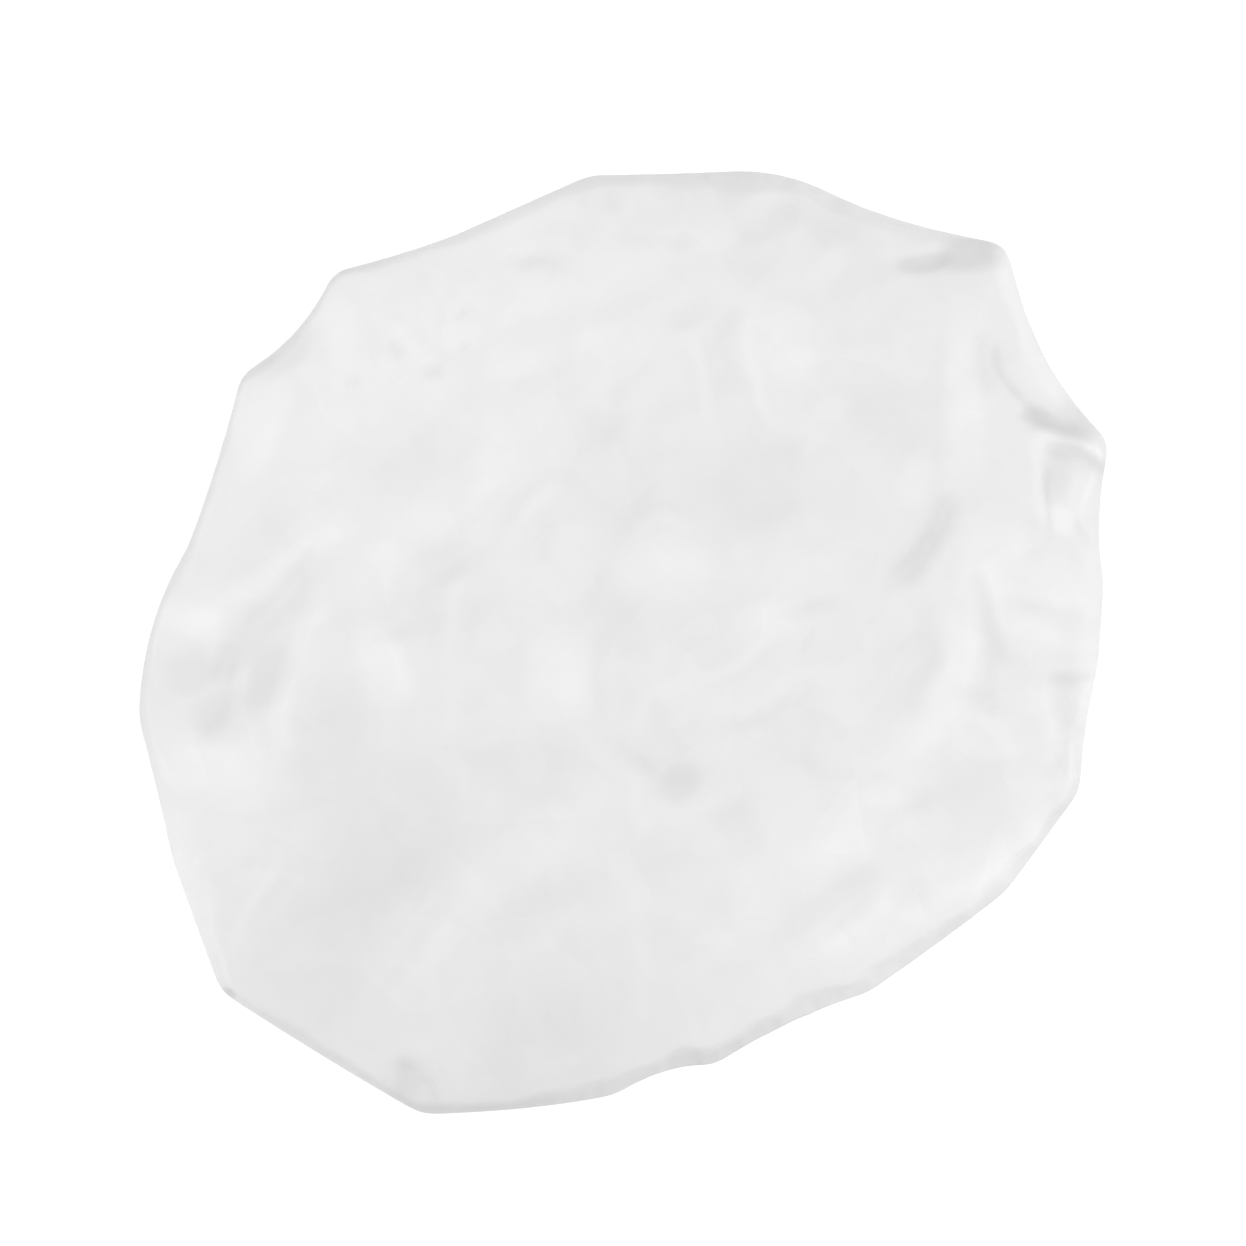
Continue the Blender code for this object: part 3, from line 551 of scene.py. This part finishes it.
def crown_folds(x, y):
    """Painted shading of the folds and clouds, and the height the folds add to the crown panel, in metres.
    """
    x, y = warp(x / CAP_RADIUS, y / CAP_RADIUS)
    named = sum(crease_height(x, y, *row[1:]) for row in CREASES)
    named = named + sum(dent_height(x, y, *row[1:]) for row in DENTS)
    small = sum(crease_height(x, y, *row[1:]) for row in small_creases())
    painted_clouds = sum(cloud_painted_shading(x, y, *row[1:]) for row in PAINTED_SHADING_CLOUDS)
    return named[0] + painted_clouds, CAP_RADIUS * (RELIEF * (named[1] + small[1]) + crumple(x, y))


def ripple(angle, rows):
    """The sum of waves round the cap, at the angles given."""
    return sum(height * np.sin(number * angle + start) for number, start, height in rows)


def pleat_phase(angle):
    """The angle, stretched and squeezed a little so that no two pleats are as wide."""
    return angle + ripple(angle, PLEAT_WANDER)


def gather_phase(angle):
    """Phase of the small gathers near the hem."""
    phase = pleat_phase(angle)
    return GATHERS * phase + ripple(phase, GATHER_WANDER)


def pleat_wave(angle, share):
    """Height of the gathers from 0 to 1, at a share of the way from the rim in to the hem."""
    phase = pleat_phase(angle)
    deep = (0.5 - 0.5 * np.cos(PLEATS * phase)) * (PLEAT_MEAN + ripple(phase, PLEAT_UNEVENNESS))
    fine = 0.5 - 0.5 * np.cos(gather_phase(angle))
    mix = ease((share - GATHER_FROM) / (1 - GATHER_FROM))
    grown = PLEAT_START + (1 - PLEAT_START) * share
    return grown * (1 - PLEAT_LOSS * mix) * deep + mix * fine


def rim_gather(angle):
    """Depth of the short gathers over the rim's bend, from 0 to 1."""
    phase = pleat_phase(angle)
    fine = 0.5 - 0.5 * np.cos(GATHERS * phase + ripple(phase, RIM_WANDER))
    return fine * (RIM_MEAN + ripple(phase, RIM_UNEVENNESS))


def hem_radius(angle):
    """The hem's middle line, drawn a little oval by the longer way of the outline."""
    return HEM_RADIUS * (1 + HEM_OVAL * np.cos(2 * (angle - HEM_OVAL_TURN)))


def round_points(radius, angle, height):
    """Points at a radius and an angle round the cap's middle."""
    return np.stack([radius * np.cos(angle), radius * np.sin(angle), height], -1)


def upper_points(share, angle):
    """Points of the crown film's outer face and their painted light and shade.

    share goes through the crown's grid, from 0 in the middle out to UPPER_SHARE at the widest line.
    """
    rim = outline_radius(angle)
    bend = RIM_BEND * rim_value(angle, BEND) * (1 + ripple(angle, BEND_WAVES))
    rim_height = RIM_HEIGHT * rim_value(angle, LIFT)
    wall = rim_value(angle, WALL)
    across = np.clip(share / PANEL_SHARE, 0, 1)
    across = across * (1 + RING_CROWDING * (1 - across))
    slant = np.clip((share - PANEL_SHARE) / (UPPER_SHARE - PANEL_SHARE), 0, 1)
    turn = (math.pi / 2) * (1 - slant)
    outward = (1 - wall) * np.cos(turn) + wall * slant
    rise = (1 - wall) * np.sin(turn) + wall * (1 - slant)
    tuck = RIM_TUCK * rim_gather(angle) * np.sin(math.pi * slant)
    radius = across * (rim - bend) + bend * outward - tuck
    x, y = radius * np.cos(angle), radius * np.sin(angle)
    painted_shading, folds = crown_folds(x, y)
    dome = (CROWN_HEIGHT - SHOULDER_HEIGHT) * (1 - (radius / rim) ** 2)
    height = rim_height + (SHOULDER_HEIGHT + dome + folds - rim_height) * rise
    # painted shade over the rim's bend, with painted mottling along its straight slants
    shade = rim_value(angle, SHADE) + WALL_PAINTED_SHADE * wall * ripple(WALL_SHADE_FINENESS * angle, BEND_WAVES)
    return np.stack([x, y, height], -1), painted_shading + shade * ease(2 * slant)


def lower_points(share, angle):
    """Points of the rim's lower bend, from the widest line at share 0 to past its lowest line at 1."""
    rim_height = RIM_HEIGHT * rim_value(angle, LIFT)
    turn = LOWER_TURN * share
    tuck = TUCK_DEPTH * pleat_wave(angle, 0) / PLEAT_START * np.sin(turn)
    radius = outline_radius(angle) - UNDER_BEND * (1 - np.cos(turn)) - tuck
    wave = PLEAT_DEPTH * pleat_wave(angle, 0) * np.sin(turn)
    height = rim_height - (rim_height - UNDER_LIFT) * np.sin(turn) + wave
    return round_points(radius, angle, height)


def under_points(share, angle):
    """Points of the film underneath, from the rim's lowest line at share 0 in to the hem at 1.

    A share below 0 is its outer edge, tucked up behind the rim's bend.
    """
    tuck = TUCK_DEPTH * pleat_wave(angle, 0) / PLEAT_START
    start, end = outline_radius(angle) - UNDER_BEND - tuck, hem_radius(angle) + HEM_WIDTH / 4
    radius = start + (end - start) * share
    height = UNDER_LIFT + (HEM_THICKNESS / 2 - UNDER_LIFT) * share + PLEAT_DEPTH * pleat_wave(angle, share)
    height = height + EDGE_TUCK * (share < 0)
    return round_points(radius, angle, height)


def ring_angles(steps):
    """Angles in equal steps all the way round."""
    return np.arange(steps) * math.tau / steps


def crowded(angle):
    """An angle moved so that equal steps lie closer towards the beak and the side across from it."""
    return angle - STEP_CROWDING * np.sin(2 * (angle - BEAK_ANGLE))


def crown_points():
    """The crown's square grid laid on rings round its middle, as points and their painted shading."""
    side = np.linspace(-1, 1, CROWN_GRID + 1)
    u, v = (a.ravel() for a in np.meshgrid(side, side, indexing="ij"))
    wide = np.abs(u) >= np.abs(v)
    share = np.maximum(np.abs(u), np.abs(v))
    safe = np.maximum(share, TINY)
    quarter = math.pi / 4
    beside = quarter * v / safe * np.sign(u)
    above = math.pi / 2 - quarter * u / safe * np.sign(v)
    angle = np.where(wide, beside, above)
    angle = crowded(np.where(np.where(wide, u, v) < 0, angle + math.pi, angle))
    points, painted_shading = upper_points(share, angle)
    low = lower_points((share - UPPER_SHARE) / (1 - UPPER_SHARE), angle)
    points = np.where((share > UPPER_SHARE)[:, None], low, points)
    return points, painted_shading


def outline_shift():
    """How far the outline's middle is from the corner table's middle."""
    angle = ring_angles(ROUND_STEPS)
    rim = outline_radius(angle)
    x, y = rim * np.cos(angle), rim * np.sin(angle)
    return np.array([-(x.max() + x.min()) / 2, -(y.max() + y.min()) / 2, 0])


def grid_faces(rows, columns, closed):
    """Quads of a grid, whose columns close into a ring if closed."""
    i, j = np.meshgrid(np.arange(rows - 1), np.arange(columns - (not closed)), indexing="ij")
    k = (j + 1) % columns
    quads = np.stack([i * columns + j, (i + 1) * columns + j, (i + 1) * columns + k, i * columns + k], -1)
    return quads.reshape(-1, 4).tolist()


def add_piece(name, points, faces, painted_brightness, material):
    """A smooth-shaded piece, with the painted light and shade of its material at each point."""
    data = bpy.data.meshes.new(name)
    data.from_pydata(points.tolist(), [], faces)
    data.update()
    data.shade_smooth()
    data.materials.append(material)
    value = data.attributes.new("painted_shading", "FLOAT", "POINT")
    value.data.foreach_set("value", painted_brightness)
    piece = bpy.data.objects.new(name, data)
    bpy.context.scene.collection.objects.link(piece)
    return piece


def finish_film(film):
    """Gives a piece of film its thickness and its place in the part."""
    wall = film.modifiers.new("thickness", "SOLIDIFY")
    wall.thickness = FILM_THICKNESS
    wall.offset = -1
    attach(film, "root")
    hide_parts("crown")


def make_crown(shift, material):
    """The film seen from above, down past the rim's lowest line."""
    points, painted_shading = crown_points()
    faces = grid_faces(CROWN_GRID + 1, CROWN_GRID + 1, False)
    # the film's colour made lighter and darker by painted light and shade
    painted_brightness = 1 + PAINTED_SHADING_STEP * np.clip(painted_shading, *PAINTED_SHADING_RANGE)
    film = add_piece("crown_film", points + shift, faces, painted_brightness, material)
    finish_film(film)
    return film


def make_under(shift, material):
    """The film underneath, gathered in to the hem and open in its middle."""
    angle = crowded(ring_angles(ROUND_STEPS))
    share = np.arange(-1, UNDER_RINGS + 1)[:, None] / UNDER_RINGS
    points = under_points(share, angle[None, :]).reshape(-1, 3)
    faces = grid_faces(len(share), len(angle), True)
    film = add_piece("under_film", points + shift, faces, np.ones(len(points)), material)
    finish_film(film)
    return film


def squared(value, power):
    """A sine or cosine drawn towards 1 or -1, which makes a circle a rounded square."""
    return np.sign(value) * np.abs(value) ** power


def make_hem(shift, material):
    """The ruched hem: film folded over the elastic, with a rib for every small gather."""
    angle = ring_angles(HEM_STEPS)
    turn = ring_angles(HEM_SIDES)[:, None]
    ribs = 1 - HEM_RIB + HEM_RIB * np.cos(gather_phase(angle))
    half_width = (HEM_WIDTH / 2) * (1 - HEM_RIB_WIDTH + HEM_RIB_WIDTH * ribs)
    half_height = (HEM_THICKNESS / 2) * ribs
    across_power, up_power = HEM_SQUARENESS
    radius = hem_radius(angle) + half_width * squared(np.cos(turn), across_power)
    height = HEM_THICKNESS / 2 + half_height * squared(np.sin(turn), up_power)
    height = height + PLEAT_DEPTH * pleat_wave(angle, 1)
    points = round_points(radius, angle, height).reshape(-1, 3)
    faces = grid_faces(HEM_SIDES, HEM_STEPS, True)
    last = (HEM_SIDES - 1) * HEM_STEPS
    for i in range(HEM_STEPS):
        k = (i + 1) % HEM_STEPS
        faces.append([last + i, i, k, last + k])
    return add_piece("hem", points + shift, faces, np.ones(len(points)), material)


def link(tree, a, b):
    """Joins an output to an input."""
    tree.links.new(a, b)


def add_node(tree, kind, **values):
    """A node with its properties set, and with its inputs set where a value names one."""
    node = tree.nodes.new(kind)
    for name, value in values.items():
        if hasattr(node, name):
            setattr(node, name, value)
        else:
            node.inputs[name.replace("_", " ")].default_value = value
    return node


def add_noise(tree, place, look):
    """A noise over the piece's own coordinates, with the scale and the rest that look gives."""
    scale, detail, roughness, distortion = look
    noise = add_node(tree, "ShaderNodeTexNoise", Scale=scale, Detail=detail, Roughness=roughness)
    noise.inputs["Distortion"].default_value = distortion
    link(tree, place, noise.inputs["Vector"])
    return noise


def add_range(tree, source, low, high):
    """An output from 0 to 1, spread from low to high."""
    spread = add_node(tree, "ShaderNodeMapRange", To_Min=low, To_Max=high)
    link(tree, source, spread.inputs["Value"])
    return spread.outputs["Result"]


def add_bump(tree, noise, look):
    """A bump of a noise, with the strength and depth that look gives."""
    strength, depth = look
    bump = add_node(tree, "ShaderNodeBump", Strength=strength, Distance=depth)
    link(tree, noise.outputs["Fac"], bump.inputs["Height"])
    return bump


def film_painted_white(tree, place, cloud, white):
    """The film's white, with the painted light and shade of its folds and a slight painted shade per
    facet.
    """
    wander = add_node(tree, "ShaderNodeVectorMath", operation="MULTIPLY_ADD")
    wander.inputs[1].default_value = (FACET_WANDER, FACET_WANDER, 0)
    link(tree, cloud.outputs["Color"], wander.inputs[0])
    link(tree, place, wander.inputs[2])
    # painted light and shade of the crown's folds, clouds and rim
    painted_brightness = add_node(tree, "ShaderNodeAttribute", attribute_name="painted_shading").outputs["Fac"]
    for size, change in FACET_SHADING:
        facet = add_node(tree, "ShaderNodeTexVoronoi", Scale=1 / size, voronoi_dimensions="2D")
        link(tree, wander.outputs[0], facet.inputs["Vector"])
        product = add_node(tree, "ShaderNodeMath", operation="MULTIPLY")
        link(tree, painted_brightness, product.inputs[0])
        link(tree, add_range(tree, facet.outputs["Color"], 1 - change, 1 + change), product.inputs[1])
        painted_brightness = product.outputs[0]
    grey = add_node(tree, "ShaderNodeMath", operation="MULTIPLY")
    grey.inputs[1].default_value = white
    link(tree, painted_brightness, grey.inputs[0])
    return grey.outputs[0]


def film_material(name, white):
    """Soft white film: painted light and shade of its folds, a satin gloss, and fine crinkles and grain in
    bump.
    """
    material = bpy.data.materials.new(name)
    material.use_nodes = True
    tree = material.node_tree
    shader = tree.nodes["Principled BSDF"]
    shader.inputs["IOR"].default_value = FILM_IOR
    shader.inputs["Specular IOR Level"].default_value = FILM_SPECULAR
    place = add_node(tree, "ShaderNodeTexCoord").outputs["Object"]
    cloud = add_noise(tree, place, CLOUD_NOISE)
    link(tree, film_painted_white(tree, place, cloud, white), shader.inputs["Base Color"])
    link(tree, add_range(tree, cloud.outputs["Fac"], *GLOSS_RANGE), shader.inputs["Roughness"])
    crinkle_bump = add_bump(tree, add_noise(tree, place, CRINKLE_NOISE), CRINKLE_BUMP)
    grain_bump = add_bump(tree, add_noise(tree, place, GRAIN_NOISE), GRAIN_BUMP)
    link(tree, crinkle_bump.outputs["Normal"], grain_bump.inputs["Normal"])
    link(tree, grain_bump.outputs["Normal"], shader.inputs["Normal"])
    return material


def table_material():
    """A white table lit from within, so that it stays white round the cap."""
    material = bpy.data.materials.new("white_table")
    material.use_nodes = True
    shader = material.node_tree.nodes["Principled BSDF"]
    shader.inputs["Base Color"].default_value = (TABLE_GREY, TABLE_GREY, TABLE_GREY, 1)
    shader.inputs["Roughness"].default_value = TABLE_ROUGHNESS
    shader.inputs["Specular IOR Level"].default_value = 0
    shader.inputs["Emission Color"].default_value = (1, 1, 1, 1)
    shader.inputs["Emission Strength"].default_value = 1
    return material


def make_floor():
    """The table that the cap lies on."""
    h = TABLE_HALF
    data = bpy.data.meshes.new("table_top")
    data.from_pydata([(-h, -h, 0), (h, -h, 0), (h, h, 0), (-h, h, 0)], [], [(0, 1, 2, 3)])
    data.materials.append(table_material())
    floor = bpy.data.objects.new("table_top", data)
    bpy.context.scene.collection.objects.link(floor)


def make_lights():
    """The white room and its soft boxes."""
    world = bpy.data.worlds.new("room")
    bpy.context.scene.world = world
    world.use_nodes = True
    background = world.node_tree.nodes["Background"]
    background.inputs["Color"].default_value = (1, 1, 1, 1)
    background.inputs["Strength"].default_value = SKY
    for azimuth, elevation, distance, width, height, light in SOFT_BOXES:
        lamp = bpy.data.lights.new("soft_box", "AREA")
        lamp.shape = "RECTANGLE"
        lamp.size, lamp.size_y = width, height
        lamp.energy = light * (math.pi * distance) ** 2
        box = bpy.data.objects.new("soft_box", lamp)
        a, e = math.radians(azimuth), math.radians(elevation)
        way = Vector((math.cos(a) * math.cos(e), math.sin(a) * math.cos(e), math.sin(e)))
        box.location = distance * way
        box.rotation_euler = (-way).to_track_quat("-Z", "Y").to_euler()
        bpy.context.scene.collection.objects.link(box)


def make_camera():
    """The camera, straight above the photograph's middle."""
    data = bpy.data.cameras.new("camera")
    data.lens, data.sensor_width = LENS, SENSOR
    camera = bpy.data.objects.new("camera", data)
    camera.location = (*FRAME_CENTRE, RIM_HEIGHT + FRAME_WIDTH * LENS / SENSOR)
    bpy.context.scene.collection.objects.link(camera)
    bpy.context.scene.camera = camera
    bpy.context.scene.view_settings.view_transform = "Standard"


def main():
    """The cap's pieces round the frame, then its table, its lights and the camera."""
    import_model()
    shift = outline_shift()
    material = film_material("film", FILM_WHITE)
    crown = make_crown(shift, material)
    under = make_under(shift, material)
    hem = make_hem(shift, film_material("hem_film", HEM_WHITE))
    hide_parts("elastic_hem")
    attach(hem, "root")
    make_floor()
    make_lights()
    make_camera()


main()
